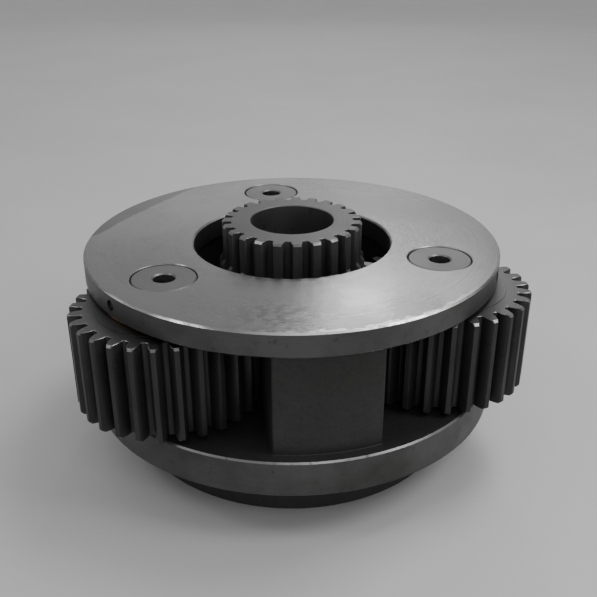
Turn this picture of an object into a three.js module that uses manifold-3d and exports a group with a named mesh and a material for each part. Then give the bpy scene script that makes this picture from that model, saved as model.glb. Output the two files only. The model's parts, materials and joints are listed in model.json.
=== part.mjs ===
// A three-planet gear set: carrier, sun, planets, their pins and roller bearings, and thrust washers.
// Millimetres, +Z up. The origin is on the gear axis, in the plane that the carrier's boss stands on.
import * as THREE from 'three';
import { mergeVertices } from 'three/addons/utils/BufferGeometryUtils.js';
import Module from 'manifold-3d';

const wasm = await Module();
wasm.setup();

// ---- Driving dimensions ----

const MODULE = 3.5;
const PRESSURE_ANGLE = THREE.MathUtils.degToRad(20);
const SUN_TEETH = 23;
const PLANET_TEETH = 28;
const PLANET_DIRECTIONS = [210, 330, 90].map(THREE.MathUtils.degToRad);
const FACE_WIDTH = 54.5;
const TOOTH_THINNING = 0.09; // taken off each tooth at the pitch circle; half of the mesh's backlash
const ROOT_CLEARANCE = 0.25 * MODULE;
const HUB_RADIUS = 38.5; // the planets' faces stand proud of their teeth inside this radius
const HUB_STEP = 0.6;

const SLIP = 0.3; // gap between pieces that touch on the real object
const EDGE = 1.2; // chamfer on machined edges

const BOSS_RADIUS = 98.5;
const BOSS_HEIGHT = 30;
const LOWER_PLATE_RADIUS = 123;
const LOWER_PLATE_THICKNESS = 21;
const UPPER_PLATE_RADIUS = 122;
const UPPER_PLATE_THICKNESS = 13.5;
const UPPER_HOLE_RADIUS = 58.7;
const WEB_WIDTH = 58;
const WEB_OUTER_RADIUS = 116.5;
const WEB_INNER_RADIUS = 61;
const PLANET_CLEARANCE = 3.5; // radial room between a planet's teeth and the webs

const WASHER_THICKNESS = 1.5;
const WASHER_RADIUS = 31.5;
const PIN_RADIUS = 18;
const PIN_HOLE_RADIUS = 6;
const PIN_DEPTH_IN_LOWER_PLATE = 17;
const PIN_RECESS = 0.4; // the pins' ends lie this far under the upper plate's face
const LOCK_RADIUS = 2.75;
const LOCK_BORE_RADIUS = 1.4;
const LOCK_DEPTH_IN_PIN = 8;
const LOCK_RECESS = 1.5;

const ROLLERS_PER_BEARING = 12;
const ROLLER_RADIUS = 3.95;
const ROLLER_LENGTH = 46;
const ROLLER_PLAY = 0.15;
const CAGE_WALL = 3.6;
const CAGE_LENGTH = 53;

const THRUST_PLATE_THICKNESS = 4.6;
const THRUST_PLATE_RADIUS = 55.5;
const THRUST_PLATE_HOLE_RADIUS = 12;
const OUTPUT_SPLINE = { teeth: 24, crest: 46, root: 50 };
const INPUT_SPLINE = { teeth: 20, crest: 22, root: 24 };

const SUN_RISE = 12.2; // how far the sun stands above the carrier's upper face
const SUN_BORE_RADIUS = 24.65;
const SUN_BORE_DEPTH = 24; // smooth lead-in above the input spline
const SUN_NECK_RADIUS = 41.5; // the upper ends of the sun's teeth are turned down to this
const SUN_NECK_HEIGHT = 20;

const FINE = 60; // sides of the carrier's circles
const MEDIUM = 36;
const COARSE = 12;
const FLANK_STEPS = 3;

// ---- Values worked out from them ----

const centreDistance = MODULE * (SUN_TEETH + PLANET_TEETH) / 2;
const washerSpace = HUB_STEP + WASHER_THICKNESS + 2 * SLIP;
const lowerFace = BOSS_HEIGHT + LOWER_PLATE_THICKNESS;
const planetBottom = lowerFace + washerSpace;
const planetTop = planetBottom + FACE_WIDTH;
const upperPlateBottom = planetTop + washerSpace;
const upperFace = upperPlateBottom + UPPER_PLATE_THICKNESS;
const lockHeight = (upperPlateBottom + upperFace) / 2;
const pinBottom = lowerFace - PIN_DEPTH_IN_LOWER_PLATE;
const sunTipRadius = MODULE * (SUN_TEETH / 2 + 1);
const planetTipRadius = MODULE * (PLANET_TEETH / 2 + 1);
const rollerCircle = PIN_RADIUS + ROLLER_PLAY + ROLLER_RADIUS;
const planetBore = rollerCircle + ROLLER_RADIUS + ROLLER_PLAY + 0.05;
const thrustPlateTop = lowerFace - SLIP;
const thrustPocketBottom = thrustPlateTop - THRUST_PLATE_THICKNESS - SLIP;
const sunBottom = lowerFace + SLIP;
const sunTop = upperFace + SUN_RISE;

// ---- Solids ----

// Turns a closed three.js geometry into a manifold-3d solid.
function solid(geometry) {
  const bare = geometry.clone();
  bare.deleteAttribute('normal');
  bare.deleteAttribute('uv');
  const merged = mergeVertices(bare, 1e-4);
  const corners = merged.index.array;
  const triangles = [];
  for (let i = 0; i < corners.length; i += 3) {
    const [a, b, c] = corners.slice(i, i + 3);
    if (a !== b && b !== c && c !== a) triangles.push(a, b, c);
  }
  return new wasm.Manifold(new wasm.Mesh({
    numProp: 3,
    vertProperties: merged.attributes.position.array,
    triVerts: new Uint32Array(triangles),
  }));
}

// Turns a manifold-3d solid back into a three.js geometry.
function geometryOf(made) {
  const mesh = made.getMesh();
  const geometry = new THREE.BufferGeometry();
  geometry.setAttribute('position', new THREE.BufferAttribute(mesh.vertProperties, 3));
  geometry.setIndex(new THREE.BufferAttribute(mesh.triVerts, 1));
  return geometry;
}

// A solid of revolution about +Z from [radius, height] points, anticlockwise with the radius to the right.
function turned(profile, sides) {
  const points = [...profile, profile[0]].map(([radius, height]) => new THREE.Vector2(radius, height));
  return solid(new THREE.LatheGeometry(points, sides).rotateX(Math.PI / 2));
}

// A cylinder about +Z from low to high.
function disc(radius, low, high, sides) {
  return turned([[0, low], [radius, low], [radius, high], [0, high]], sides);
}

// A ring about +Z, with its upper edges chamfered by edge.
function ring(inner, outer, low, high, sides, edge = 0) {
  const top = edge
    ? [[outer, high - edge], [outer - edge, high], [inner + edge, high], [inner, high - edge]]
    : [[outer, high], [inner, high]];
  return turned([[inner, low], [outer, low], ...top], sides);
}

// A cutter that opens a bore of this radius, with a chamfer at its upper mouth.
function boreCutter(radius, low, mouth, sides, edge = EDGE) {
  return turned([
    [0, low], [radius, low], [radius, mouth - edge],
    [radius + edge, mouth], [radius + edge, mouth + 1], [0, mouth + 1],
  ], sides);
}

function prism(outline, low, high) {
  const options = { depth: high - low, bevelEnabled: false, curveSegments: COARSE };
  return solid(new THREE.ExtrudeGeometry(outline, options).translate(0, 0, low));
}

// A rod of any outline that points away from the gear axis, along +X, from one radius to another.
function radialRod(outline, from, to, height) {
  const options = { depth: to - from, bevelEnabled: false, curveSegments: COARSE };
  const geometry = new THREE.ExtrudeGeometry(outline, options).rotateY(Math.PI / 2);
  return solid(geometry.translate(from, 0, height));
}

const polar = (radius, angle) => new THREE.Vector2(radius * Math.cos(angle), radius * Math.sin(angle));
const turnedTo = (made, angle) => made.rotate([0, 0, THREE.MathUtils.radToDeg(angle)]);
const circle = (radius, sides) => new THREE.Shape(
  Array.from({ length: sides }, (_, i) => polar(radius, 2 * Math.PI * i / sides)),
);

// ---- Toothed outlines ----

// An involute spur gear's outline, with one tooth centred on +X.
function gearOutline(teeth) {
  const pitchRadius = MODULE * teeth / 2;
  const baseRadius = pitchRadius * Math.cos(PRESSURE_ANGLE);
  const rootRadius = pitchRadius - MODULE - ROOT_CLEARANCE;
  const tipRadius = pitchRadius + MODULE;
  const involute = (angle) => Math.tan(angle) - angle;
  const halfToothAtPitch = Math.PI / (2 * teeth) - TOOTH_THINNING / (2 * pitchRadius);
  const halfTooth = (radius) => {
    const angleThere = Math.acos(Math.min(1, baseRadius / radius));
    return halfToothAtPitch + involute(PRESSURE_ANGLE) - involute(angleThere);
  };
  const flank = [rootRadius];
  for (let i = 0; i <= FLANK_STEPS; i++) {
    flank.push(THREE.MathUtils.lerp(baseRadius, tipRadius, i / FLANK_STEPS));
  }
  const points = [];
  for (let tooth = 0; tooth < teeth; tooth++) {
    const middle = 2 * Math.PI * tooth / teeth;
    for (const radius of flank) points.push(polar(radius, middle - halfTooth(radius)));
    for (const radius of [...flank].reverse()) points.push(polar(radius, middle + halfTooth(radius)));
  }
  return new THREE.Shape(points);
}

// The hole of an internal spline: a wide space and a narrower crest for each tooth.
function splineOutline({ teeth, crest, root }) {
  const points = [];
  const pitch = 2 * Math.PI / teeth;
  for (let tooth = 0; tooth < teeth; tooth++) {
    const middle = pitch * tooth;
    points.push(polar(crest, middle - 0.3 * pitch), polar(root, middle - 0.18 * pitch));
    points.push(polar(root, middle + 0.18 * pitch), polar(crest, middle + 0.3 * pitch));
  }
  return new THREE.Shape(points);
}

// A gear blank: the toothed outline, cut to a turned profile with one flat side on each tooth's tip.
function toothedBlank(teeth, profile) {
  const reach = 1 / Math.cos(Math.PI / teeth);
  const heights = profile.map(([, height]) => height);
  const envelope = turned(profile.map(([radius, height]) => [radius * reach, height]), teeth);
  const blank = prism(gearOutline(teeth), Math.min(...heights), Math.max(...heights));
  return blank.intersect(turnedTo(envelope, Math.PI / 2 + Math.PI / teeth));
}

// ---- Pieces ----

// One of the three webs that join the plates, centred on +X. Its outer face is round.
function webOutline() {
  const halfWidth = WEB_WIDTH / 2;
  const outerAngle = Math.asin(halfWidth / WEB_OUTER_RADIUS);
  const innerAngle = Math.asin(halfWidth / WEB_INNER_RADIUS);
  const outline = new THREE.Shape();
  outline.absarc(0, 0, WEB_OUTER_RADIUS, -outerAngle, outerAngle, false);
  outline.absarc(0, 0, WEB_INNER_RADIUS, innerAngle, -innerAngle, true);
  return outline;
}

// What the lower casting and the upper plate are both cut by, centred on a planet to the +X side.
function planetCutter() {
  const room = disc(planetTipRadius + PLANET_CLEARANCE, lowerFace, upperPlateBottom, MEDIUM);
  const pinBore = boreCutter(PIN_RADIUS + SLIP, pinBottom - SLIP, upperFace, MEDIUM);
  return room.add(pinBore).translate([centreDistance, 0, 0]);
}

// The lower plate with its boss and the three webs.
function carrierSolid() {
  let made = turned([
    [0, 0], [BOSS_RADIUS, 0], [BOSS_RADIUS, BOSS_HEIGHT], [LOWER_PLATE_RADIUS, BOSS_HEIGHT],
    [LOWER_PLATE_RADIUS, lowerFace - EDGE], [LOWER_PLATE_RADIUS - EDGE, lowerFace], [0, lowerFace],
  ], FINE);
  const web = prism(webOutline(), lowerFace - 1, upperPlateBottom - SLIP);
  for (const direction of PLANET_DIRECTIONS) {
    made = made.add(turnedTo(web, direction + Math.PI / PLANET_DIRECTIONS.length));
  }
  for (const direction of PLANET_DIRECTIONS) {
    made = made.subtract(turnedTo(planetCutter(), direction));
  }
  const pocket = disc(THRUST_PLATE_RADIUS + SLIP, thrustPocketBottom, lowerFace + 1, MEDIUM);
  return made.subtract(pocket).subtract(prism(splineOutline(OUTPUT_SPLINE), -1, thrustPocketBottom + 1));
}

// The ring-shaped plate on the webs, with the pins' bores and the cross holes for their lock pins.
function upperPlateSolid() {
  let made = ring(UPPER_HOLE_RADIUS, UPPER_PLATE_RADIUS, upperPlateBottom, upperFace, FINE, EDGE);
  const lockHole = radialRod(
    circle(LOCK_RADIUS + SLIP, COARSE), centreDistance, UPPER_PLATE_RADIUS + 1, lockHeight,
  );
  for (const direction of PLANET_DIRECTIONS) {
    made = made.subtract(turnedTo(planetCutter().add(lockHole), direction));
  }
  return made;
}

function sunSolid() {
  const neckBottom = sunTop - SUN_NECK_HEIGHT;
  const blank = toothedBlank(SUN_TEETH, [
    [0, sunBottom], [sunTipRadius, sunBottom], [sunTipRadius, neckBottom - (sunTipRadius - SUN_NECK_RADIUS)],
    [SUN_NECK_RADIUS, neckBottom], [SUN_NECK_RADIUS, sunTop - EDGE], [SUN_NECK_RADIUS - EDGE, sunTop],
    [0, sunTop],
  ]);
  const bore = boreCutter(SUN_BORE_RADIUS, sunTop - SUN_BORE_DEPTH, sunTop, MEDIUM);
  return blank.subtract(bore).subtract(prism(splineOutline(INPUT_SPLINE), sunBottom - 1, sunTop));
}

function planetSolid() {
  const blank = toothedBlank(PLANET_TEETH, [
    [0, planetBottom], [planetTipRadius - EDGE, planetBottom], [planetTipRadius, planetBottom + EDGE],
    [planetTipRadius, planetTop - EDGE], [planetTipRadius - EDGE, planetTop], [0, planetTop],
  ]);
  const hub = disc(HUB_RADIUS, planetBottom - HUB_STEP, planetTop + HUB_STEP, MEDIUM);
  return blank.add(hub).subtract(disc(planetBore, planetBottom - 1, planetTop + 1, MEDIUM));
}

// The pin, with the cross hole for its lock pin towards +X.
function pinSolid() {
  const pin = ring(PIN_HOLE_RADIUS, PIN_RADIUS, pinBottom, upperFace - PIN_RECESS, MEDIUM, EDGE);
  const holeEnd = PIN_RADIUS - LOCK_DEPTH_IN_PIN - SLIP;
  return pin.subtract(radialRod(circle(LOCK_RADIUS + SLIP, COARSE), holeEnd, PIN_RADIUS + 1, lockHeight));
}

// A rolled spring pin: a tube with a slot along it.
function lockSolid() {
  const slot = 0.35;
  const outline = new THREE.Shape();
  outline.absarc(0, 0, LOCK_RADIUS, slot, 2 * Math.PI - slot, false);
  outline.absarc(0, 0, LOCK_BORE_RADIUS, 2 * Math.PI - 1.6 * slot, 1.6 * slot, true);
  const from = PIN_RADIUS - LOCK_DEPTH_IN_PIN;
  return radialRod(outline, from, UPPER_PLATE_RADIUS - LOCK_RECESS - centreDistance, lockHeight);
}

function cageSolid() {
  const middle = (planetBottom + planetTop) / 2;
  const inner = rollerCircle - CAGE_WALL / 2;
  const outer = rollerCircle + CAGE_WALL / 2;
  let made = ring(inner, outer, middle - CAGE_LENGTH / 2, middle + CAGE_LENGTH / 2, 2 * ROLLERS_PER_BEARING);
  const size = [2 * CAGE_WALL, 2 * (ROLLER_RADIUS + SLIP), ROLLER_LENGTH + 2 * SLIP];
  const pocket = solid(new THREE.BoxGeometry(...size).translate(rollerCircle, 0, middle));
  for (let i = 0; i < ROLLERS_PER_BEARING; i++) {
    made = made.subtract(turnedTo(pocket, 2 * Math.PI * i / ROLLERS_PER_BEARING));
  }
  return made;
}

// ---- Scene ----

const steel = (color, roughness) => new THREE.MeshStandardMaterial({
  color, roughness, metalness: 1, flatShading: true,
});
const castIron = () => steel(0x5c5c5a, 0.5);
const gearSteel = () => steel(0x4a4a4c, 0.35);
const groundSteel = () => steel(0x8c8c8c, 0.25);
const bronze = () => steel(0x9a7b48, 0.4);

function piece(name, geometry, material) {
  const mesh = new THREE.Mesh(geometry, material);
  mesh.name = name;
  return mesh;
}

const gearSet = new THREE.Group();
gearSet.add(piece('carrier', geometryOf(carrierSolid()), castIron()));
gearSet.add(piece('carrier_upper_plate', geometryOf(upperPlateSolid()), castIron()));

// The sun has a tooth space towards the first planet, which has a tooth in it.
const spaceDirection = PLANET_DIRECTIONS[0];
const sun = piece('sun_gear', geometryOf(sunSolid()), gearSteel());
sun.rotation.z = spaceDirection - Math.PI / SUN_TEETH;
gearSet.add(sun);

const thrustPlate = ring(
  THRUST_PLATE_HOLE_RADIUS, THRUST_PLATE_RADIUS,
  thrustPlateTop - THRUST_PLATE_THICKNESS, thrustPlateTop, MEDIUM,
);
gearSet.add(piece('sun_thrust_plate', geometryOf(thrustPlate), bronze()));

const planetGeometry = geometryOf(planetSolid());
const pinGeometry = geometryOf(pinSolid());
const lockGeometry = geometryOf(lockSolid());
const cageGeometry = geometryOf(cageSolid());
const washerGeometry = geometryOf(
  ring(PIN_RADIUS + SLIP, WASHER_RADIUS, 0, WASHER_THICKNESS, MEDIUM),
);
const rollerGeometry = new THREE.CylinderGeometry(ROLLER_RADIUS, ROLLER_RADIUS, ROLLER_LENGTH, 10);
rollerGeometry.rotateX(Math.PI / 2).translate(0, 0, (planetBottom + planetTop) / 2);

PLANET_DIRECTIONS.forEach((direction, index) => {
  const number = index + 1;
  const station = new THREE.Group(); // on the pin's axis, with +X away from the gear axis
  station.position.set(centreDistance * Math.cos(direction), centreDistance * Math.sin(direction), 0);
  station.rotation.z = direction;

  const planet = piece(`planet_gear_${number}`, planetGeometry, gearSteel());
  planet.rotation.z = Math.PI - (spaceDirection - direction) * SUN_TEETH / PLANET_TEETH;
  station.add(planet);
  station.add(piece(`planet_pin_${number}`, pinGeometry, groundSteel()));
  station.add(piece(`lock_pin_${number}`, lockGeometry, groundSteel()));

  const lowerWasher = piece(`lower_washer_${number}`, washerGeometry, bronze());
  lowerWasher.position.z = lowerFace + SLIP;
  const upperWasher = piece(`upper_washer_${number}`, washerGeometry, bronze());
  upperWasher.position.z = planetTop + HUB_STEP + SLIP;
  station.add(lowerWasher, upperWasher);

  station.add(piece(`bearing_cage_${number}`, cageGeometry, bronze()));
  for (let i = 0; i < ROLLERS_PER_BEARING; i++) {
    const around = 2 * Math.PI * i / ROLLERS_PER_BEARING;
    const roller = piece(`roller_${number}_${i + 1}`, rollerGeometry, groundSteel());
    roller.position.set(rollerCircle * Math.cos(around), rollerCircle * Math.sin(around), 0);
    station.add(roller);
  }
  gearSet.add(station);
});

export default gearSet;
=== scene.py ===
# The looks of a planetary gear set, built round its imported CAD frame.
# Metres, +Z up, with the set's axis on Z and its boss standing on the floor at Z = 0.
import json
import math

import bmesh
import bpy
from mathutils import Matrix, Vector


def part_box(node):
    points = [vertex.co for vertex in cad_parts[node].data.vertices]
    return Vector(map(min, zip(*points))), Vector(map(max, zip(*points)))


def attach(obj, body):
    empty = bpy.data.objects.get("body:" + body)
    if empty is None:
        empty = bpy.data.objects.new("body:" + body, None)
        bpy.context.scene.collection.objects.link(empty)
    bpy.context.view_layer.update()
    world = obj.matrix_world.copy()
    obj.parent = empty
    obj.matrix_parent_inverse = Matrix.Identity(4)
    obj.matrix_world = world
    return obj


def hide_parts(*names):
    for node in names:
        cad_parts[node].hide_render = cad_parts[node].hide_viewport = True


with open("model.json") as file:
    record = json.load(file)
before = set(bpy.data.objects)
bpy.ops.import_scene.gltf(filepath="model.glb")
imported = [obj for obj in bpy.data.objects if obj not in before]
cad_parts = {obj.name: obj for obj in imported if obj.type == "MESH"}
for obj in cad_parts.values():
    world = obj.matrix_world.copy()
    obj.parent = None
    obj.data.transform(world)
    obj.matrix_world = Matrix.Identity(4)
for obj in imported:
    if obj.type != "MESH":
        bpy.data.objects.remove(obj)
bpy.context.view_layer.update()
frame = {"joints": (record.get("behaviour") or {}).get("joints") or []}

# ---- Dimensions ----

MM = 0.001

# Teeth
MODULE = 3.5 * MM
PRESSURE_ANGLE = math.radians(20)
SUN_TEETH = 23
PLANET_TEETH = 28
TOOTH_THINNING = 0.09 * MM
ROOT_CLEARANCE = 0.25 * MODULE
ROOT_FILLET = 0.36 * MODULE
FLANK_STEPS = 9

# Edges and gaps; MARGIN is how far a cutter or a test reaches past a face
CHAMFER = 1.2 * MM
RIM_CHAMFER = 0.9 * MM
PIN_CHAMFER = 0.8 * MM
SMALL_CHAMFER = 0.5 * MM
CAGE_CHAMFER = 0.4 * MM
WASHER_CHAMFER = 0.3 * MM
EDGE_BREAK = 0.25 * MM
SLIP = 0.3 * MM
MARGIN = 1 * MM

# Carrier
BOSS_RADIUS = 98.5 * MM
BOSS_HEIGHT = 30 * MM
BOSS_UNDERCUT = 0.8 * MM
BOSS_MOUTH_DEPTH = 6 * MM
UPPER_PLATE_RADIUS = 122 * MM
UPPER_HOLE_RADIUS = 58.7 * MM
WEB_WIDTH = 58 * MM
WEB_OUTER_RADIUS = 116.5 * MM
WEB_INNER_RADIUS = 61 * MM
WEB_FILLET = 0.3 * MM
WEB_CORNER = 1.5 * MM
PLANET_CLEARANCE = 3.5 * MM
PLANET_ROOM_OVERSHOOT = 5 * MM

# Planets, their pins and lock pins, and their bearings
HUB_RADIUS = 38.5 * MM
HUB_STEP = 0.25 * MM
PIN_RECESS = 0.4 * MM
PIN_HOLE_RADIUS = 6 * MM
LOCK_RADIUS = 2.75 * MM
LOCK_BORE_RADIUS = 1.4 * MM
LOCK_DEPTH_IN_PIN = 8 * MM
LOCK_RECESS = 1.5 * MM
LOCK_TAPER = 0.5 * MM
LOCK_SLOT_OUTSIDE = 0.35
LOCK_SLOT_INSIDE = 1.6 * LOCK_SLOT_OUTSIDE
ROLLERS_PER_BEARING = 12
ROLLER_RADIUS = 3.95 * MM
ROLLER_CROWN = 0.6 * MM
CAGE_WALL = 3.6 * MM

# Sun, its thrust plate, and the splines
THRUST_HOLE_RADIUS = 12 * MM
OIL_GROOVES = 6
GROOVE_START, GROOVE_END = 16 * MM, 50 * MM
GROOVE_WIDTH = 3 * MM
GROOVE_DEPTH = 1 * MM
SUN_BORE_RADIUS = 24.65 * MM
SUN_BORE_DEPTH = 24 * MM
SUN_NECK_RADIUS = 41.5 * MM
SUN_NECK_HEIGHT = 21.5 * MM
OUTPUT_SPLINE = {"teeth": 24, "crest": 46 * MM, "root": 50 * MM}
INPUT_SPLINE = {"teeth": 20, "crest": 22 * MM, "root": 24 * MM}

# Sides of round shapes, and a turn that keeps a cutter's corners out of line with a spline's
FINE = 180
MEDIUM = 96
SMALL = 32
OFF_STEP = math.radians(0.7)

# Marks on the carrier's upper face: a crescent of painted shade, a stain, and stretches of the rim rubbed
# bright and given a painted highlight; each of these arcs has its middle and half width in degrees
CRESCENT_DIRECTION = math.radians(142)
CRESCENT_REACH = 108 * MM
CRESCENT_WANDER = 7 * MM
PATCH_DIRECTION = math.radians(257)
PATCH_RADIUS = 0.87 * UPPER_PLATE_RADIUS
PATCH_CORE, PATCH_REACH = 10 * MM, 30 * MM
WEAR_AND_HIGHLIGHT_ARCS = ((214, 6), (234, 7), (281, 24))
WEAR_AND_HIGHLIGHT_WIDTH = 4.5 * MM
WEAR_AND_HIGHLIGHT_BLUR = 0.3 * MM

# Camera
CAMERA_DISTANCE = 4.188 * UPPER_PLATE_RADIUS
CAMERA_AIM_HEIGHT = 0.691 * UPPER_PLATE_RADIUS
CAMERA_AZIMUTH = math.radians(-9.32)
CAMERA_ELEVATION = math.radians(25.58)
CAMERA_PAN = 0.0075
CAMERA_ROLL = -0.0039
CAMERA_LENS = 49.64

# Each light's azimuth and elevation in degrees, distance, width and height in metres, and watts
LIGHTS = {
    "window_behind": (73.5, 31, 2.0, 0.22, 0.22, 2.1),
    "window_behind_right": (66, 27, 2.0, 0.3, 0.3, 0.5),
    "low_glow_behind": (84, 14, 2.0, 1.2, 0.45, 0.8),
    "soft_right": (22, 65, 1.2, 0.45, 0.45, 5.6),
    "near_front_right": (-33, 44, 0.7, 0.3, 0.3, 1.7),
    "soft_front": (-85, 40, 1.6, 0.9, 0.6, 3.4),
    "soft_left": (188, 50, 1.8, 0.5, 0.35, 3.0),
}
LIGHT_AIM = Vector((0, 0, 0.12))
ROOM_GLOW = 0.545
FLOOR_REACH = 8

# Places that the frame gives
carrier_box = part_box("carrier")
sun_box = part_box("sun_gear")
planet_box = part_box("planet_gear_1")
pin_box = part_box("planet_pin_1")
upper_washer_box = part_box("upper_washer_1")
lower_washer_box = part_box("lower_washer_1")
thrust_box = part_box("sun_thrust_plate")
cage_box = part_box("bearing_cage_1")
roller_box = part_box("roller_1_1")
spins = {joint["name"]: Vector(joint["pos_m"]) for joint in frame["joints"]}
stations = [spins[f"planet_spin_{number}"] for number in (1, 2, 3)]
directions = [math.atan2(place.y, place.x) for place in stations]

centre_distance = MODULE * (SUN_TEETH + PLANET_TEETH) / 2
lower_plate_radius = carrier_box[1].x
upper_face = pin_box[1].z + PIN_RECESS
upper_plate_bottom = upper_washer_box[1].z + SLIP
lower_face = lower_washer_box[0].z - SLIP
lock_height = (upper_plate_bottom + upper_face) / 2
pin_radius = (pin_box[1].x - pin_box[0].x) / 2
washer_radius = (upper_washer_box[1].x - upper_washer_box[0].x) / 2
thrust_radius = (thrust_box[1].x - thrust_box[0].x) / 2
planet_tip_radius = MODULE * (PLANET_TEETH / 2 + 1)
sun_tip_radius = MODULE * (SUN_TEETH / 2 + 1)
roller_circle = (cage_box[1].x - cage_box[0].x) / 2 - CAGE_WALL / 2
planet_bore = roller_circle + ROLLER_RADIUS + 2 * SLIP / 3


# ---- Shapes ----

def polar(radius, angle):
    return (radius * math.cos(angle), radius * math.sin(angle))


def piece_from(bm, name):
    bmesh.ops.remove_doubles(bm, verts=bm.verts, dist=1e-7)
    bmesh.ops.recalc_face_normals(bm, faces=bm.faces)
    if bm.calc_volume(signed=True) < 0:
        bmesh.ops.reverse_faces(bm, faces=bm.faces)
    mesh = bpy.data.meshes.new(name)
    bm.to_mesh(mesh)
    bm.free()
    piece = bpy.data.objects.new(name, mesh)
    bpy.context.scene.collection.objects.link(piece)
    return piece


def lofted(name, sections, closed=False):
    """A solid through sections, each (points, height), with as many points in each.

    It is capped at its two ends, or, if closed, its last section runs on into its first.
    """
    bm = bmesh.new()
    rings = [[bm.verts.new((x, y, height)) for x, y in points] for points, height in sections]
    count = len(rings[0])
    following = rings[1:] + rings[:1] if closed else rings[1:]
    for lower, upper in zip(rings, following):
        for i in range(count):
            j = (i + 1) % count
            bm.faces.new((lower[i], lower[j], upper[j], upper[i]))
    if not closed:
        bm.faces.new(rings[0][::-1])
        bm.faces.new(rings[-1])
    return piece_from(bm, name)


def turned(name, profile, sides):
    """A solid of revolution about Z, from the (radius, height) corners of its closed half section."""
    bm = bmesh.new()
    rings = []
    for radius, height in profile:
        around = range(sides) if radius else range(1)
        rings.append([bm.verts.new((*polar(radius, math.tau * i / sides), height)) for i in around])
    for lower, upper in zip(rings, rings[1:] + rings[:1]):
        if len(lower) == len(upper) == 1:
            continue
        for i in range(sides):
            j = (i + 1) % sides
            corners = [ring[k % len(ring)] for ring, k in ((lower, i), (lower, j), (upper, j), (upper, i))]
            bm.faces.new(list(dict.fromkeys(corners)))
    return piece_from(bm, name)


def washer_profile(inner, outer, low, high, edge):
    return [
        (inner + edge, low), (outer - edge, low), (outer, low + edge), (outer, high - edge),
        (outer - edge, high), (inner + edge, high), (inner, high - edge), (inner, low + edge),
    ]


def bore_profile(radius, low, high, edge_low, edge_high):
    """A cutter for a bore from low to high, with a chamfer at each mouth that has one."""
    profile = [(0, low - CHAMFER)]
    if edge_low:
        profile += [(radius + edge_low, low - CHAMFER), (radius + edge_low, low), (radius, low + edge_low)]
    else:
        profile += [(radius, low - CHAMFER)]
    if edge_high:
        profile += [(radius, high - edge_high), (radius + edge_high, high)]
        profile += [(radius + edge_high, high + CHAMFER)]
    else:
        profile += [(radius, high + CHAMFER)]
    return profile + [(0, high + CHAMFER)]


def joined(base, others, operation="UNION"):
    """Applies a boolean of base with each of the others, which are used up."""
    for other in others:
        modifier = base.modifiers.new("join", "BOOLEAN")
        modifier.operation = operation
        modifier.solver = "EXACT"
        modifier.object = other
    bpy.context.view_layer.update()
    evaluated = base.evaluated_get(bpy.context.evaluated_depsgraph_get())
    mesh = bpy.data.meshes.new_from_object(evaluated)
    base.modifiers.clear()
    old = base.data
    base.data = mesh
    bpy.data.meshes.remove(old)
    for other in others:
        bpy.data.meshes.remove(other.data)
    return base


def cut(base, *tools):
    return joined(base, tools, "DIFFERENCE")


def placed(piece, angle=0.0, place=(0, 0, 0)):
    """Turns and moves the mesh itself, so that the object stays at the origin."""
    piece.data.transform(Matrix.Translation(place) @ Matrix.Rotation(angle, 4, "Z"))
    return piece


def laid_along_x(piece):
    """Lays the mesh's Z axis along +X, at the height of the lock pins."""
    piece.data.transform(Matrix.Translation((0, 0, lock_height)) @ Matrix.Rotation(math.pi / 2, 4, "Y"))
    return piece


def copy_of(piece, name):
    twin = bpy.data.objects.new(name, piece.data.copy())
    bpy.context.scene.collection.objects.link(twin)
    return twin


def shade(piece, limit=math.radians(28)):
    """Smooth shading, broken at edges sharper than limit and all round each level face."""
    bm = bmesh.new()
    bm.from_mesh(piece.data)
    bmesh.ops.remove_doubles(bm, verts=bm.verts, dist=1e-7)
    for face in bm.faces:
        face.smooth = True
    for edge in bm.edges:
        level = [abs(face.normal.z) > 0.9999 for face in edge.link_faces]
        edge.smooth = edge.calc_face_angle(0) < limit and not (any(level) and not all(level))
    bm.to_mesh(piece.data)
    bm.free()
    return piece


def rounded(points, radius, steps=4):
    """A closed outline with each of its corners rounded by an arc."""
    result = []
    for i, corner in enumerate(points):
        here = Vector(corner)
        before = (Vector(points[i - 1]) - here).normalized()
        after = (Vector(points[(i + 1) % len(points)]) - here).normalized()
        half = before.angle(after) / 2
        reach = radius / math.tan(half)
        centre = here + (before + after).normalized() * (radius / math.sin(half))
        start, end = here + before * reach - centre, here + after * reach - centre
        for step in range(steps + 1):
            mixed = start.lerp(end, step / steps).normalized() * radius
            result.append(tuple(centre + mixed))
    return result


def grown(points, distance):
    """An outline moved outwards by distance, or inwards if it is negative."""
    result = []
    for i, point in enumerate(points):
        along = Vector(points[(i + 1) % len(points)]) - Vector(points[i - 1])
        outwards = Vector((along.y, -along.x)).normalized()
        result.append((point[0] + outwards.x * distance, point[1] + outwards.y * distance))
    return result


# ---- Toothed outlines ----

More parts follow.
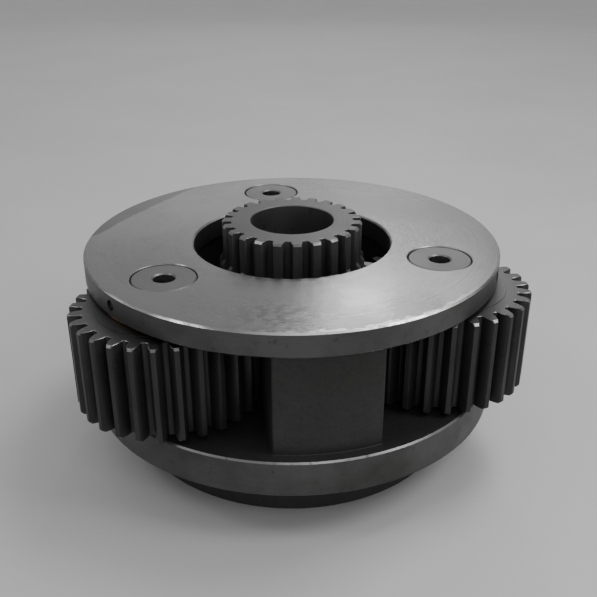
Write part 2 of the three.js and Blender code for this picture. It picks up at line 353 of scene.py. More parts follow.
def gear_outline(teeth, exact_radii=()):
    """An involute spur gear's outline with a tooth centred on +X, with a point at each of exact_radii."""
    pitch_radius = MODULE * teeth / 2
    base_radius = pitch_radius * math.cos(PRESSURE_ANGLE)
    root_radius = pitch_radius - MODULE - ROOT_CLEARANCE
    tip_radius = pitch_radius + MODULE
    half_at_pitch = math.pi / (2 * teeth) - TOOTH_THINNING / (2 * pitch_radius)

    def half_tooth(radius):
        angle_there = math.acos(min(1.0, base_radius / radius))
        involute = (math.tan(PRESSURE_ANGLE) - PRESSURE_ANGLE) - (math.tan(angle_there) - angle_there)
        return half_at_pitch + involute

    # the root fillet, as an arc between the root circle and the flank's straight foot
    foot_angle = half_tooth(base_radius)
    fillet = []
    for step in range(5):
        turn = math.pi / 2 * step / 4
        across = ROOT_FILLET * (1 - math.sin(turn))
        up = ROOT_FILLET * (1 - math.cos(turn))
        fillet.append((root_radius + up, foot_angle + across / root_radius))
    depth = tip_radius - base_radius
    radii = [base_radius + depth * (i / FLANK_STEPS) ** 1.3 for i in range(FLANK_STEPS + 1)]
    radii = sorted(set(radii) | set(exact_radii))
    flank = fillet + [(radius, half_tooth(radius)) for radius in radii if radius > fillet[-1][0]]
    points = []
    for tooth in range(teeth):
        middle = math.tau * tooth / teeth
        points += [polar(radius, middle - half) for radius, half in flank]
        points += [polar(tip_radius, middle)]
        points += [polar(radius, middle + half) for radius, half in reversed(flank)]
    return points


def within(points, limit):
    """The outline with what is beyond the limit radius brought in to it."""
    result = []
    for x, y in points:
        scale = min(1.0, limit / math.hypot(x, y))
        result.append((x * scale, y * scale))
    return result


def toothed_sections(outline, envelope):
    """Sections of a toothed blank whose tips follow the (radius, height) points of a turned envelope."""
    small = grown(outline, -EDGE_BREAK)
    (first, bottom), *middle, (last, top) = envelope
    return [
        (within(small, first), bottom),
        (within(outline, first + EDGE_BREAK), bottom + EDGE_BREAK),
        *((within(outline, radius), height) for radius, height in middle),
        (within(outline, last + EDGE_BREAK), top - EDGE_BREAK),
        (within(small, last), top),
    ]


def round_sections(outline, profile):
    """Round sections at a profile's (radius, height) points, with corners in line with the outline's."""
    sections = []
    for radius, height in profile:
        sections.append(([polar(radius, math.atan2(y, x)) for x, y in outline], height))
    return sections


def spline_cutter(name, spline, low, high):
    """A cutter for an internal spline that is open at its lower end."""
    points = []
    pitch = math.tau / spline["teeth"]
    for tooth in range(spline["teeth"]):
        middle = pitch * tooth
        for radius, share in (("crest", -0.3), ("root", -0.18), ("root", 0.18), ("crest", 0.3)):
            points.append(polar(spline[radius], middle + share * pitch))
    return lofted(name, [(points, low - CHAMFER), (points, high)])


# ---- Pieces ----

def web_outline():
    """A web's outline from above, towards +X, with its outer and inner sides curved round the axis."""
    half_width = WEB_WIDTH / 2
    outer = math.asin(half_width / WEB_OUTER_RADIUS)
    inner = math.asin(half_width / WEB_INNER_RADIUS)
    corners = [polar(WEB_OUTER_RADIUS, -outer), polar(WEB_OUTER_RADIUS, outer)]
    corners += [polar(WEB_INNER_RADIUS, inner), polar(WEB_INNER_RADIUS, -inner)]
    outline = rounded(corners, WEB_CORNER)
    result = []
    for i, point in enumerate(outline):
        result.append(point)
        following = outline[(i + 1) % len(outline)]
        span = math.dist(point, following)
        if span > WEB_WIDTH / 2 and abs(math.hypot(*point) - math.hypot(*following)) < MARGIN:
            bulge = math.hypot(*point)
            start, end = (math.atan2(p[1], p[0]) for p in (point, following))
            result += [polar(bulge, start + (end - start) * k / 12) for k in range(1, 12)]
    return result


def planet_room(direction):
    """A drum of the room that a planet turns in, taller than the webs that it is cut from."""
    radius = planet_tip_radius + PLANET_CLEARANCE
    low, high = lower_face - PLANET_ROOM_OVERSHOOT, upper_plate_bottom + PLANET_ROOM_OVERSHOOT
    drum = turned("room", [(0, low), (radius, low), (radius, high), (0, high)], MEDIUM)
    return placed(drum, direction, (*polar(centre_distance, direction), 0))


def make_web(direction):
    """A web between the plates, with a fillet at each end, cut back on both sides for the planets."""
    outline = web_outline()
    steps = 6
    foot = []
    for step in range(steps + 1):
        turn = math.pi / 2 * step / steps
        foot.append((WEB_FILLET * (1 - math.sin(turn)), WEB_FILLET * (1 - math.cos(turn))))
    sections = [(grown(outline, WEB_FILLET), lower_face - MARGIN)]
    sections += [(grown(outline, out), lower_face + up) for out, up in foot]
    sections += [(grown(outline, out), upper_plate_bottom - up) for out, up in reversed(foot)]
    sections.append((grown(outline, WEB_FILLET), upper_plate_bottom + MARGIN))
    web = placed(lofted("web", sections), direction)
    return cut(web, *(planet_room(planet) for planet in directions))


def make_carrier_blank():
    """The carrier before its bores are cut: boss, lower plate, webs and upper plate."""
    neck = BOSS_RADIUS - BOSS_UNDERCUT
    lower = turned("carrier_casting", [
        (0, 0), (BOSS_RADIUS - 2 * CHAMFER, 0), (BOSS_RADIUS, 2 * CHAMFER),
        (BOSS_RADIUS, BOSS_HEIGHT - 3 * BOSS_UNDERCUT), (neck, BOSS_HEIGHT - 2 * BOSS_UNDERCUT),
        (neck, BOSS_HEIGHT), (lower_plate_radius - RIM_CHAMFER, BOSS_HEIGHT),
        (lower_plate_radius, BOSS_HEIGHT + RIM_CHAMFER), (lower_plate_radius, lower_face - RIM_CHAMFER),
        (lower_plate_radius - RIM_CHAMFER, lower_face), (0, lower_face),
    ], FINE)
    upper = turned("upper_plate", washer_profile(
        UPPER_HOLE_RADIUS, UPPER_PLATE_RADIUS, upper_plate_bottom, upper_face, RIM_CHAMFER), FINE)
    webs = [make_web(direction + math.pi / 3) for direction in directions]
    return joined(lower, [upper, *webs])


def cross_hole(inner, outer):
    """A cutter for a lock pin's hole along +X, from one radius out past another."""
    hole = turned("lock_hole", bore_profile(LOCK_RADIUS + SLIP, inner, outer, 0, 0), SMALL)
    return laid_along_x(hole)


def make_carrier():
    """The carrier's casting, with its pin bores, lock holes, thrust pocket and output spline cut."""
    tools = []
    for direction in directions:
        place = (*polar(centre_distance, direction), 0)
        bottom = pin_box[0].z - SLIP + CHAMFER
        pin_bore = bore_profile(pin_radius + SLIP, bottom, upper_face, 0, SMALL_CHAMFER)
        tools.append(placed(turned("pin_bore", pin_bore, MEDIUM), direction, place))
        tools.append(placed(cross_hole(centre_distance, UPPER_PLATE_RADIUS), direction))
    pocket_bottom = thrust_box[0].z - SLIP
    pocket = bore_profile(thrust_radius + SLIP, pocket_bottom + CHAMFER, lower_face, 0, SMALL_CHAMFER)
    tools.append(placed(turned("pocket", pocket, FINE), OFF_STEP))
    root, crest = OUTPUT_SPLINE["root"], OUTPUT_SPLINE["crest"]
    mouth = turned("mouth", [
        (0, -CHAMFER), (root + 2 * CHAMFER, -CHAMFER), (root + CHAMFER, 0),
        (crest, BOSS_MOUTH_DEPTH), (0, BOSS_MOUTH_DEPTH),
    ], FINE)
    tools.append(placed(mouth, OFF_STEP))
    tools.append(spline_cutter("spline", OUTPUT_SPLINE, 0, pocket_bottom + MARGIN))
    return shade(cut(make_carrier_blank(), *tools))


def make_sun():
    low, high = sun_box[0].z, sun_box[1].z
    neck_bottom = high - SUN_NECK_HEIGHT
    envelope = [
        (sun_tip_radius - CHAMFER, low), (sun_tip_radius, low + CHAMFER),
        (sun_tip_radius, neck_bottom - (sun_tip_radius - SUN_NECK_RADIUS)), (SUN_NECK_RADIUS, neck_bottom),
        (SUN_NECK_RADIUS, high - CHAMFER), (SUN_NECK_RADIUS - CHAMFER, high),
    ]
    outline = gear_outline(SUN_TEETH, [radius for radius, _ in envelope])
    crest = INPUT_SPLINE["crest"]
    bore = [
        (SUN_BORE_RADIUS + SMALL_CHAMFER, high), (SUN_BORE_RADIUS, high - SMALL_CHAMFER),
        (SUN_BORE_RADIUS, high - SUN_BORE_DEPTH), (crest, high - SUN_BORE_DEPTH),
        (crest, low + CHAMFER), (crest + CHAMFER, low),
    ]
    sections = toothed_sections(outline, envelope) + round_sections(outline, bore)
    sun = lofted("sun_pinion", sections, closed=True)
    return shade(cut(sun, spline_cutter("spline", INPUT_SPLINE, low, high - SUN_BORE_DEPTH / 2)))


def make_planet():
    bottom, top = planet_box[0].z, planet_box[1].z
    low, high = bottom + HUB_STEP, top - HUB_STEP
    envelope = [
        (planet_tip_radius - CHAMFER, low), (planet_tip_radius, low + CHAMFER),
        (planet_tip_radius, high - CHAMFER), (planet_tip_radius - CHAMFER, high),
    ]
    outline = gear_outline(PLANET_TEETH, [radius for radius, _ in envelope])
    upper_hub = [
        (HUB_RADIUS, high), (HUB_RADIUS, top),
        (planet_bore + CHAMFER, top), (planet_bore, top - CHAMFER),
    ]
    lower_hub = [
        (planet_bore, bottom + CHAMFER), (planet_bore + CHAMFER, bottom),
        (HUB_RADIUS, bottom), (HUB_RADIUS, low),
    ]
    sections = toothed_sections(outline, envelope) + round_sections(outline, upper_hub + lower_hub)
    return shade(lofted("planet", sections, closed=True))


def make_pin():
    """A planet pin with its cross hole towards +X."""
    low, high = pin_box[0].z, pin_box[1].z
    pin = turned("pin", washer_profile(PIN_HOLE_RADIUS, pin_radius, low, high, PIN_CHAMFER), MEDIUM)
    return shade(cut(pin, cross_hole(pin_radius - LOCK_DEPTH_IN_PIN - SLIP + CHAMFER, pin_radius)))


def make_lock():
    """A rolled spring pin, with tapered ends and a slot along it, pointing along +X."""
    start = pin_radius - LOCK_DEPTH_IN_PIN
    end = UPPER_PLATE_RADIUS - LOCK_RECESS - centre_distance
    outer_turn = math.tau - 2 * LOCK_SLOT_OUTSIDE
    inner_turn = math.tau - 2 * LOCK_SLOT_INSIDE
    inner = [
        polar(LOCK_BORE_RADIUS, math.tau - LOCK_SLOT_INSIDE - inner_turn * i / SMALL)
        for i in range(SMALL + 1)
    ]
    sections = []
    for narrower, along in (
        (LOCK_TAPER, start), (0, start + 2 * LOCK_TAPER), (0, end - 2 * LOCK_TAPER), (LOCK_TAPER, end),
    ):
        radius = LOCK_RADIUS - narrower
        outer = [polar(radius, LOCK_SLOT_OUTSIDE + outer_turn * i / SMALL) for i in range(SMALL + 1)]
        sections.append((outer + inner, along))
    return shade(laid_along_x(lofted("lock", sections)))


def make_cage():
    low, high = cage_box[0].z, cage_box[1].z
    inner, outer = roller_circle - CAGE_WALL / 2, roller_circle + CAGE_WALL / 2
    cage = turned("cage", washer_profile(inner, outer, low, high, CAGE_CHAMFER), MEDIUM)
    half = ROLLER_RADIUS + SLIP
    roller_low, roller_high = roller_box[0].z - SLIP, roller_box[1].z + SLIP
    near, far = inner - CAGE_WALL, outer + CAGE_WALL
    corners = [(near, -half), (far, -half), (far, half), (near, half)]
    pockets = []
    for i in range(ROLLERS_PER_BEARING):
        pocket = lofted("pocket", [(corners, roller_low), (corners, roller_high)])
        pockets.append(placed(pocket, math.tau * i / ROLLERS_PER_BEARING))
    return shade(cut(cage, *pockets))


def make_roller():
    low, high = roller_box[0].z, roller_box[1].z
    return shade(turned("roller", [
        (0, low), (ROLLER_RADIUS - ROLLER_CROWN, low), (ROLLER_RADIUS, low + ROLLER_CROWN),
        (ROLLER_RADIUS, high - ROLLER_CROWN), (ROLLER_RADIUS - ROLLER_CROWN, high), (0, high),
    ], SMALL))


def make_washer(name, box):
    profile = washer_profile(pin_radius + SLIP, washer_radius, box[0].z, box[1].z, WASHER_CHAMFER)
    return shade(turned(name, profile, MEDIUM))


def make_thrust_plate():
    """The disc under the sun, with oil grooves in its upper face."""
    low, high = thrust_box[0].z, thrust_box[1].z
    disc = washer_profile(THRUST_HOLE_RADIUS, thrust_radius, low, high, SMALL_CHAMFER)
    plate = turned("thrust_disc", disc, MEDIUM)
    half = GROOVE_WIDTH / 2
    corners = [(GROOVE_START, -half), (GROOVE_END, -half), (GROOVE_END, half), (GROOVE_START, half)]
    outline = rounded(corners, half * 0.95)
    grooves = []
    for i in range(OIL_GROOVES):
        groove = lofted("groove", [(outline, high - GROOVE_DEPTH), (outline, high + MARGIN)])
        grooves.append(placed(groove, math.tau * i / OIL_GROOVES))
    return shade(cut(plate, *grooves))


# ---- Materials ----

class Nodes:
    """A material's node tree, with a short call for each kind of node that the finishes share."""

    def __init__(self, name):
        self.material = bpy.data.materials.new(name)
        self.material.use_nodes = True
        self.tree = self.material.node_tree
        self.shader = self.tree.nodes["Principled BSDF"]
        self.local = self.add("ShaderNodeTexCoord").outputs["Object"]
        place = self.add("ShaderNodeObjectInfo").outputs["Location"]
        shift = self.vector("SCALE", place, scale=7.0)
        self.point = self.vector("ADD", self.local, shift)
        parts = self.add("ShaderNodeSeparateXYZ", {"Vector": self.local})
        flat = self.add("ShaderNodeCombineXYZ", {"X": parts.outputs["X"], "Y": parts.outputs["Y"]})
        self.radius = self.vector("LENGTH", flat.outputs["Vector"], output="Value")
        self.height = parts.outputs["Z"]

    def add(self, kind, inputs=None, **settings):
        node = self.tree.nodes.new(kind)
        for key, value in settings.items():
            setattr(node, key, value)
        for socket, value in (inputs or {}).items():
            if isinstance(value, bpy.types.NodeSocket):
                self.tree.links.new(value, node.inputs[socket])
            else:
                node.inputs[socket].default_value = value
        return node

    def vector(self, operation, first, second=None, scale=None, output="Vector"):
        inputs = {0: first}
        if second is not None:
            inputs[1] = second
        if scale is not None:
            inputs["Scale"] = scale
        return self.add("ShaderNodeVectorMath", inputs, operation=operation).outputs[output]

    def math(self, operation, first, second=0.0):
        return self.add("ShaderNodeMath", {0: first, 1: second}, operation=operation).outputs[0]

    def noise(self, scale, detail=4.0, roughness=0.55, vector=None):
        inputs = {"Vector": vector or self.point, "Scale": scale, "Detail": detail, "Roughness": roughness}
        return self.add("ShaderNodeTexNoise", inputs).outputs["Fac"]

    def lines(self, value, scale, detail=3.0):
        """Noise along one value only, such as the radius of a turned face."""
        inputs = {"W": value, "Scale": scale, "Detail": detail, "Roughness": 0.7}
        return self.add("ShaderNodeTexNoise", inputs, noise_dimensions="1D").outputs["Fac"]

    def span(self, value, low, high, to_low=0.0, to_high=1.0):
        """The value's range from low to high stretched to another range, and held at its ends."""
        inputs = {"Value": value, "From Min": low, "From Max": high, "To Min": to_low, "To Max": to_high}
        return self.add("ShaderNodeMapRange", inputs).outputs["Result"]

    def blend(self, share, first, second):
        """A colour between first and second."""
        inputs = {"Factor": share, 6: first, 7: second}
        return self.add("ShaderNodeMix", inputs, data_type="RGBA").outputs[2]

    def stretched(self, scales, turn=0.0):
        inputs = {"Vector": self.point, "Rotation": (0.0, 0.0, turn), "Scale": scales}
        return self.add("ShaderNodeMapping", inputs).outputs["Vector"]

    def scratches(self, turn, density=0.0):
        """A mask of long thin scratches in one direction, from 0 to 1."""
        grain = self.noise(1.0, 2.0, 0.5, self.stretched((14.0, 900.0, 14.0), turn))
        fine = self.span(grain, 0.70 - density, 0.74 - density)
        here = self.span(self.noise(30.0, 2.0), 0.48, 0.62)
        return self.math("MULTIPLY", fine, here)

    def near(self, place, inner, outer):
        """1 within the inner distance of a place, and 0 beyond the outer one."""
        away = self.vector("DISTANCE", self.local, place, output="Value")
        return self.span(away, inner, outer, 1.0, 0.0)

    def towards(self, direction):
        """The distance from the axis in one level direction."""
        return self.vector("DOT_PRODUCT", self.local, (*polar(1.0, direction), 0.0), output="Value")

    def bump(self, height, distance, strength=1.0, normal=None):
        inputs = {"Height": height, "Distance": distance, "Strength": strength}
        if normal is not None:
            inputs["Normal"] = normal
        return self.add("ShaderNodeBump", inputs).outputs["Normal"]

    def finish(self, colour, roughness, normal, metallic=1.0):
        self.shader.inputs["Metallic"].default_value = metallic
        self.tree.links.new(colour, self.shader.inputs["Base Color"])
        self.tree.links.new(roughness, self.shader.inputs["Roughness"])
        self.tree.links.new(normal, self.shader.inputs["Normal"])
        return self.material


def grey(level, warmth=0.0):
    return (level * (1 + warmth), level, level * (1 - warmth), 1.0)


def turned_face_colour(n, bright, dark, stain):
    """Fine and broad rings, soft stains and light scratches: the colour, and the masks behind it."""
    rings = n.lines(n.radius, 900.0)
    broad_rings = n.lines(n.radius, 120.0, 2.0)
    stains = n.span(n.noise(11.0, 5.0, 0.6), 0.42, 0.66)
    marks = n.math("MAXIMUM", n.scratches(0.5), n.scratches(2.2, 0.01))
    colour = n.blend(n.math("MULTIPLY", stains, stain), grey(bright), grey(dark, 0.02))
    colour = n.blend(n.span(rings, 0.3, 0.7, 0.0, 0.2), colour, grey(dark))
    colour = n.blend(n.span(broad_rings, 0.35, 0.65, 0.0, 0.15), colour, grey(bright * 1.15))
    colour = n.blend(n.math("MULTIPLY", marks, 0.4), colour, grey(bright * 1.3))
    return colour, rings, stains, marks


def finish_turned_face(n, colour, roughness, rings, stains, marks):
    """Adds the relief of the rings and scratches, and a roughness that rises in the stains."""
    ripple = n.span(rings, 0.3, 0.7, -0.03, 0.03)
    rough = n.math("ADD", n.span(stains, 0.0, 1.0, roughness, roughness + 0.1), ripple)
    return n.finish(colour, rough, n.bump(marks, 0.1 * MM, -0.4, n.bump(rings, 0.04 * MM, 0.5)))


def turned_face(name, bright, dark, roughness, stain=0.5):
    """A lathe-turned face."""
    n = Nodes(name)
    colour, rings, stains, marks = turned_face_colour(n, bright, dark, stain)
    return finish_turned_face(n, colour, roughness, rings, stains, marks)


def painted_shade_crescent(n):
    """A mask of the crescent of painted shade beside the carrier's upper rim, from 0 to 1."""
    wander = n.span(n.noise(18.0, 3.0, 0.6), 0.0, 1.0, -CRESCENT_WANDER, CRESCENT_WANDER)
    reach = n.math("ADD", n.towards(CRESCENT_DIRECTION), wander)
    return n.span(reach, CRESCENT_REACH - MARGIN, CRESCENT_REACH + MARGIN)


def stained_patch(n):
    """A mask of the speckled stain on the carrier's upper face, from 0 to 1."""
    place = (*polar(PATCH_RADIUS, PATCH_DIRECTION), upper_face)
    speckles = n.span(n.noise(160.0, 5.0, 0.7), 0.46, 0.56)
    return n.math("MULTIPLY", n.near(place, PATCH_CORE, PATCH_REACH), speckles)


def wear_and_highlight_arcs(n):
    """A mask of the stretches of the carrier's upper rim that are rubbed bright and given a painted
    highlight, from 0 to 1.
    """
    mask = 0.0
    for middle, half in WEAR_AND_HIGHLIGHT_ARCS:
        ends = [UPPER_PLATE_RADIUS * math.cos(math.radians(half * share)) for share in (1.5, 0.7)]
        mask = n.math("MAXIMUM", mask, n.span(n.towards(math.radians(middle)), *ends))
    return mask


def wear_and_highlight_rim(n):
    """A mask of the ragged band of rubbed wear and painted highlight just inside those stretches, from 0
    to 1.
    """
    ragged = n.span(n.noise(110.0, 5.0, 0.7), 0.38, 0.62)
    from_rim = n.math("ADD", n.radius, n.math("MULTIPLY", ragged, WEAR_AND_HIGHLIGHT_WIDTH))
    rim = n.span(from_rim, UPPER_PLATE_RADIUS - WEAR_AND_HIGHLIGHT_BLUR, UPPER_PLATE_RADIUS + WEAR_AND_HIGHLIGHT_BLUR)
    return n.math("MULTIPLY", rim, wear_and_highlight_arcs(n))


def carrier_face(name, bright, dark, roughness):
    """The carrier's turned upper face, with the marks that the masks above give, among them a crescent of
    painted shade and a band of painted highlight along rubbed stretches of the rim.
    """
    n = Nodes(name)
    colour, rings, stains, marks = turned_face_colour(n, bright, dark, 0.6)
    # painted shade: the dark crescent beside the upper rim
    colour = n.blend(n.math("MULTIPLY", painted_shade_crescent(n), 0.85), colour, grey(dark * 0.6))
    colour = n.blend(n.math("MULTIPLY", stained_patch(n), 0.4), colour, grey(dark * 0.5, 0.02))
    spots = n.span(n.noise(60.0, 6.0, 0.65), 0.6, 0.7)
    colour = n.blend(n.math("MULTIPLY", spots, 0.3), colour, grey(dark * 0.8, 0.03))
    # rubbed wear and painted highlight: the ragged bright band inside the rubbed stretches of the rim
    colour = n.blend(n.math("MULTIPLY", wear_and_highlight_rim(n), 0.7), colour, grey(bright * 2.2))
    return finish_turned_face(n, colour, roughness, rings, stains, marks)


def turned_side(name, bright, dark, roughness):
    """The round side of a turned piece: lines round it, with dark oily blotches."""
    n = Nodes(name)
    rings = n.lines(n.height, 1100.0)
    blotches = n.span(n.noise(24.0, 5.0, 0.6), 0.4, 0.68)
    spots = n.span(n.noise(220.0, 3.0, 0.6), 0.62, 0.72)
    colour = n.blend(blotches, grey(bright), grey(dark, 0.03))
    colour = n.blend(n.span(rings, 0.3, 0.7, 0.0, 0.3), colour, grey(dark))
    colour = n.blend(n.math("MULTIPLY", spots, 0.5), colour, grey(dark * 0.6))
    rough = n.span(blotches, 0.0, 1.0, roughness, roughness + 0.15)
    return n.finish(colour, rough, n.bump(rings, 0.04 * MM, 0.6))


def cast_iron(name, bright, dark, roughness):
    """Blackened, oily casting: a pebbled skin with soft tone changes, half scale and half metal."""
    n = Nodes(name)
    skin = n.noise(420.0, 6.0, 0.7)
    lumps = n.noise(90.0, 3.0, 0.5)
    tone = n.span(n.noise(16.0, 5.0, 0.6), 0.35, 0.7)
    colour = n.blend(tone, grey(bright), grey(dark, 0.04))
    colour = n.blend(n.span(skin, 0.5, 0.7, 0.0, 0.35), colour, grey(dark * 0.7))
    rough = n.span(skin, 0.3, 0.7, roughness - 0.08, roughness + 0.12)
    normal = n.bump(skin, 0.15 * MM, 0.6, n.bump(lumps, 0.6 * MM, 0.6))
    return n.finish(colour, rough, normal, metallic=0.5)


def gear_steel(name, bright, dark, roughness):
    """Blackened gear steel, with cutter marks along the teeth: half oxide and half metal."""
    n = Nodes(name)
    along = n.noise(1.0, 3.0, 0.6, n.stretched((900.0, 900.0, 30.0)))
    tone = n.span(n.noise(28.0, 4.0, 0.6), 0.35, 0.7)
    specks = n.span(n.noise(500.0, 2.0, 0.5), 0.66, 0.74)
    colour = n.blend(tone, grey(bright), grey(dark, 0.03))
    colour = n.blend(n.span(along, 0.4, 0.65, 0.0, 0.45), colour, grey(dark * 0.7))
    colour = n.blend(n.math("MULTIPLY", specks, 0.4), colour, grey(bright * 1.8))
    rough = n.span(along, 0.3, 0.7, roughness - 0.05, roughness + 0.12)
    return n.finish(colour, rough, n.bump(along, 0.06 * MM, 0.6), metallic=0.5)


def worn_edge(name, bright, dark):
    """Edges rubbed bright, with nicks where the dark skin is left."""
    n = Nodes(name)
    nicks = n.span(n.noise(150.0, 5.0, 0.7), 0.56, 0.7)
    colour = n.blend(nicks, grey(bright), grey(dark))
    rough = n.span(nicks, 0.0, 1.0, 0.3, 0.5)
    return n.finish(colour, rough, n.bump(nicks, 0.1 * MM, -0.5))


def carrier_edge(name, bright, dark):
    """The chamfers of the carrier's upper plate: dull, with stretches that are rubbed bright and carry a
    painted highlight.
    """
    n = Nodes(name)
    nicks = n.span(n.noise(110.0, 5.0, 0.7), 0.5, 0.68)
    tone = n.span(n.noise(30.0, 3.0, 0.6), 0.4, 0.6, 0.0, 0.4)
    # the rubbed stretches are bright partly from wear and partly as a painted highlight
    shine = n.math("MAXIMUM", wear_and_highlight_arcs(n), tone)
    colour = n.blend(shine, grey(dark), grey(bright))
    colour = n.blend(n.math("MULTIPLY", nicks, 0.7), colour, grey(dark * 0.8))
    rough = n.span(nicks, 0.0, 1.0, 0.3, 0.5)
    return n.finish(colour, rough, n.bump(nicks, 0.1 * MM, -0.5))


def bearing_bronze():
    n = Nodes("turned_bronze")
    rings = n.lines(n.radius, 700.0)
    tone = n.span(n.noise(40.0, 4.0), 0.35, 0.7)
    colour = n.blend(tone, (0.30, 0.20, 0.09, 1), (0.16, 0.10, 0.05, 1))
    rough = n.span(rings, 0.3, 0.7, 0.26, 0.42)
    return n.finish(colour, rough, n.bump(rings, 0.05 * MM, 0.6))


def pale_floor():
    n = Nodes("pale_floor")
    tone = n.span(n.noise(6.0, 3.0), 0.3, 0.7)
    colour = n.blend(tone, grey(0.47), grey(0.51))
    rough = n.span(tone, 0.0, 1.0, 0.5, 0.55)
    return n.finish(colour, rough, n.bump(tone, 0.1 * MM, 0.1), metallic=0.0)


# ---- Assembly ----

TURNED_FACE, TURNED_SIDE, SKIN, WORN, OILY_EDGE = range(5)


def carrier_zone(centre, normal):
    """The carrier's upper face, rims, hole and chamfers are machined, and the rest has its cast skin."""
    radius = centre.xy.length
    upright = abs(normal.z) < 0.3
    machined = radius > WEB_OUTER_RADIUS + MARGIN
    if 0.3 < abs(normal.z) < 0.95 and (machined or centre.z > upper_face - 2 * CHAMFER):
        return WORN if centre.z > upper_plate_bottom else OILY_EDGE
    if centre.z > upper_face - SLIP:
        return TURNED_FACE
    in_hole = centre.z > upper_plate_bottom and radius < UPPER_HOLE_RADIUS + MARGIN
    return TURNED_SIDE if upright and (machined or in_hole) else SKIN


def planet_zone(centre, normal):
    """A planet's ends are turned, the chamfers of its teeth are worn bright, and the rest is dark."""
    if abs(normal.z) > 0.95:
        return TURNED_FACE
    if abs(normal.z) < 0.3:
        return SKIN
    return WORN if centre.xy.length > HUB_RADIUS + MARGIN else TURNED_FACE


def sun_zone(centre, normal):
    """The sun's ends, shoulder and bore are turned, its upper edge is worn, and the rest is dark."""
    if centre.xy.length < SUN_BORE_RADIUS + MARGIN:
        return TURNED_SIDE
    if abs(normal.z) < 0.3:
        return SKIN
    return WORN if abs(normal.z) < 0.95 and centre.z > upper_face else TURNED_FACE


def round_zone(centre, normal):
    """The ends of a plain turned piece, and its sides."""
    return TURNED_FACE if abs(normal.z) > 0.3 else TURNED_SIDE


ZONES = {"carrier": carrier_zone, "sun_gear": sun_zone, "planet_gear": planet_zone, "pin": round_zone}


def make_finishes():
    """The materials of each slot, in the order of the zones where the slot has zones."""
    tooth_steel = gear_steel("planet_tooth_steel", 0.042, 0.025, 0.42)
    gear_edge = worn_edge("gear_worn_edge", 0.19, 0.09)
    return {
        "carrier": [
            carrier_face("carrier_turned_face", 0.25, 0.16, 0.22),
            turned_side("carrier_turned_side", 0.12, 0.075, 0.42),
            cast_iron("carrier_cast_skin", 0.04, 0.025, 0.5),
            # the upper plate's chamfers: wear, with a painted highlight in the rubbed stretches
            carrier_edge("carrier_edge_wear_and_highlight", 0.7, 0.17),
            worn_edge("carrier_oily_edge", 0.2, 0.09),
        ],
        "sun_gear": [
            turned_face("sun_turned_face", 0.10, 0.07, 0.42, 0.4),
            # painted light: the bore's side is lighter than the sun's turned face to stand in for light
            # deep in the bore
            turned_side("sun_bored_side_painted_light", 0.17, 0.11, 0.45),
            # painted light: the sun's tooth steel is lighter than the planets' to stand in for light in
            # the shade of the plate's hole
            gear_steel("sun_tooth_steel_painted_light", 0.08, 0.045, 0.42),
            gear_edge,
        ],
        "planet_gear": [
            turned_face("gear_turned_face", 0.16, 0.105, 0.38, 0.4), tooth_steel, tooth_steel, gear_edge,
        ],
        "pin": [
            turned_face("pin_turned_end", 0.17, 0.11, 0.44, 0.3),
            turned_side("ground_steel", 0.5, 0.34, 0.22),
        ],
        "spring_steel": [gear_steel("lock_pin_spring_steel", 0.16, 0.07, 0.35)],
        "cage": [cast_iron("cage_phosphated_steel", 0.22, 0.12, 0.45)],
        "roller": [turned_side("roller_steel", 0.62, 0.5, 0.16)],
        "bronze": [bearing_bronze()],
    }


def finished(piece, slot, body, nodes, finishes):
    """Gives a piece its slot's materials, face by face, hides the imported parts that it stands for, and
    attaches it to its body.
    """
    for material in finishes[slot]:
        piece.data.materials.append(material)
    if slot in ZONES:
        for polygon in piece.data.polygons:
            polygon.material_index = ZONES[slot](polygon.center, polygon.normal)
    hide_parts(*nodes)
    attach(piece, body)


def add_station(number, patterns, finishes):
    """One planet with its pin, lock pin, washers, cage and rollers, from copies of the patterns."""
    place, direction = stations[number - 1], directions[number - 1]

    def add(pattern, name, slot, body, node, turn=0.0, away=0.0):
        """A copy of a pattern at this pin. Its mesh is turned, so its box stays close round it."""
        twin = placed(copy_of(patterns[pattern], f"planet_{number}_{name}"), direction + turn)
        x, y = polar(away, direction + turn)
        twin.matrix_world = Matrix.Translation((place.x + x, place.y + y, 0))
        finished(twin, slot, body, [node], finishes)

    mesh_turn = math.pi - (directions[0] - direction) * SUN_TEETH / PLANET_TEETH
    cage_body = f"roller_cage_{number}"
    add("planet", "toothed_gear", "planet_gear", f"planet_{number}", f"planet_gear_{number}", mesh_turn)
    add("pin", "shaft", "pin", "carrier", f"planet_pin_{number}")
    add("lock", "spring_pin", "spring_steel", "carrier", f"lock_pin_{number}")
    for side in ("upper", "lower"):
        add(side, f"{side}_thrust_washer", "bronze", "carrier", f"{side}_washer_{number}")
    add("cage", "roller_cage", "cage", cage_body, f"bearing_cage_{number}")
    for i in range(ROLLERS_PER_BEARING):
        node = f"roller_{number}_{i + 1}"
        turn = math.tau * i / ROLLERS_PER_BEARING
        add("roller", f"bearing_roller_{i + 1}", "roller", cage_body, node, turn, roller_circle)


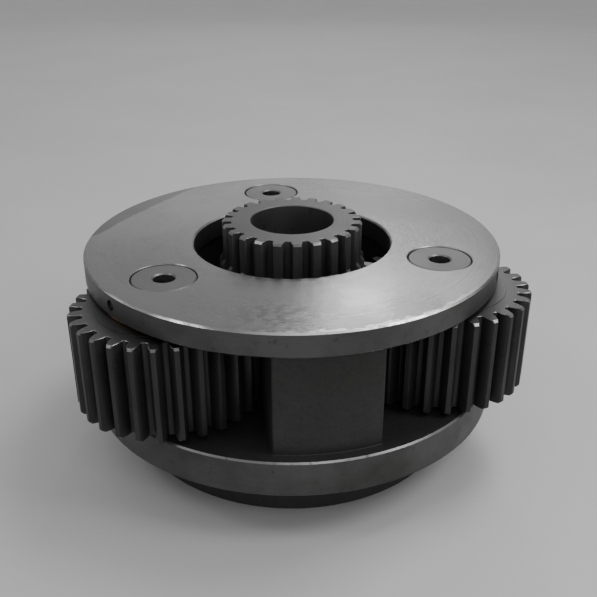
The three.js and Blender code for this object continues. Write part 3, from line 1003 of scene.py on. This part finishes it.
def build_set():
    finishes = make_finishes()
    finished(make_carrier(), "carrier", "carrier", ["carrier", "carrier_upper_plate"], finishes)
    finished(make_thrust_plate(), "bronze", "carrier", ["sun_thrust_plate"], finishes)
    sun = placed(make_sun(), directions[0] - math.pi / SUN_TEETH)
    finished(sun, "sun_gear", "sun", ["sun_gear"], finishes)

    patterns = {
        "planet": make_planet(),
        "pin": make_pin(),
        "lock": make_lock(),
        "cage": make_cage(),
        "roller": make_roller(),
        "upper": make_washer("upper", upper_washer_box),
        "lower": make_washer("lower", lower_washer_box),
    }
    for number in (1, 2, 3):
        add_station(number, patterns, finishes)
    for pattern in patterns.values():
        bpy.data.objects.remove(pattern)


# ---- Stage ----

def make_camera():
    data = bpy.data.cameras.new("camera")
    data.lens = CAMERA_LENS
    data.sensor_width = 36
    data.clip_start, data.clip_end = 0.01, 50
    camera = bpy.data.objects.new("camera", data)
    bpy.context.scene.collection.objects.link(camera)
    tilt = Matrix.Rotation(math.pi / 2 - CAMERA_ELEVATION, 4, "X")
    looking = Matrix.Rotation(CAMERA_AZIMUTH, 4, "Z") @ tilt
    back = looking.to_3x3() @ Vector((0, 0, CAMERA_DISTANCE))
    turn = Matrix.Rotation(-CAMERA_PAN, 4, "Y") @ Matrix.Rotation(CAMERA_ROLL, 4, "Z")
    camera.matrix_world = Matrix.Translation(back + Vector((0, 0, CAMERA_AIM_HEIGHT))) @ looking @ turn
    bpy.context.scene.camera = camera


def panel(name, azimuth, elevation, distance, width, height, power):
    """A soft light that faces the set, in a direction in degrees round from +X and up from level."""
    data = bpy.data.lights.new(name, "AREA")
    data.shape = "ELLIPSE"
    data.size, data.size_y = width, height
    data.energy = power
    light = bpy.data.objects.new(name, data)
    across, up = math.radians(azimuth), math.radians(elevation)
    away = Vector((*polar(math.cos(up), across), math.sin(up)))
    light.location = LIGHT_AIM + away * distance
    light.rotation_mode = "QUATERNION"
    light.rotation_quaternion = away.to_track_quat("Z", "Y")
    light.visible_camera = False
    bpy.context.scene.collection.objects.link(light)


def make_stage():
    bm = bmesh.new()
    bmesh.ops.create_grid(bm, x_segments=1, y_segments=1, size=FLOOR_REACH)
    floor = piece_from(bm, "floor")
    floor.data.materials.append(pale_floor())

    world = bpy.data.worlds.new("studio")
    world.use_nodes = True
    background = world.node_tree.nodes["Background"]
    background.inputs["Color"].default_value = (1, 1, 1, 1)
    background.inputs["Strength"].default_value = ROOM_GLOW
    bpy.context.scene.world = world
    for name, settings in LIGHTS.items():
        panel(name, *settings)


build_set()
make_stage()
make_camera()
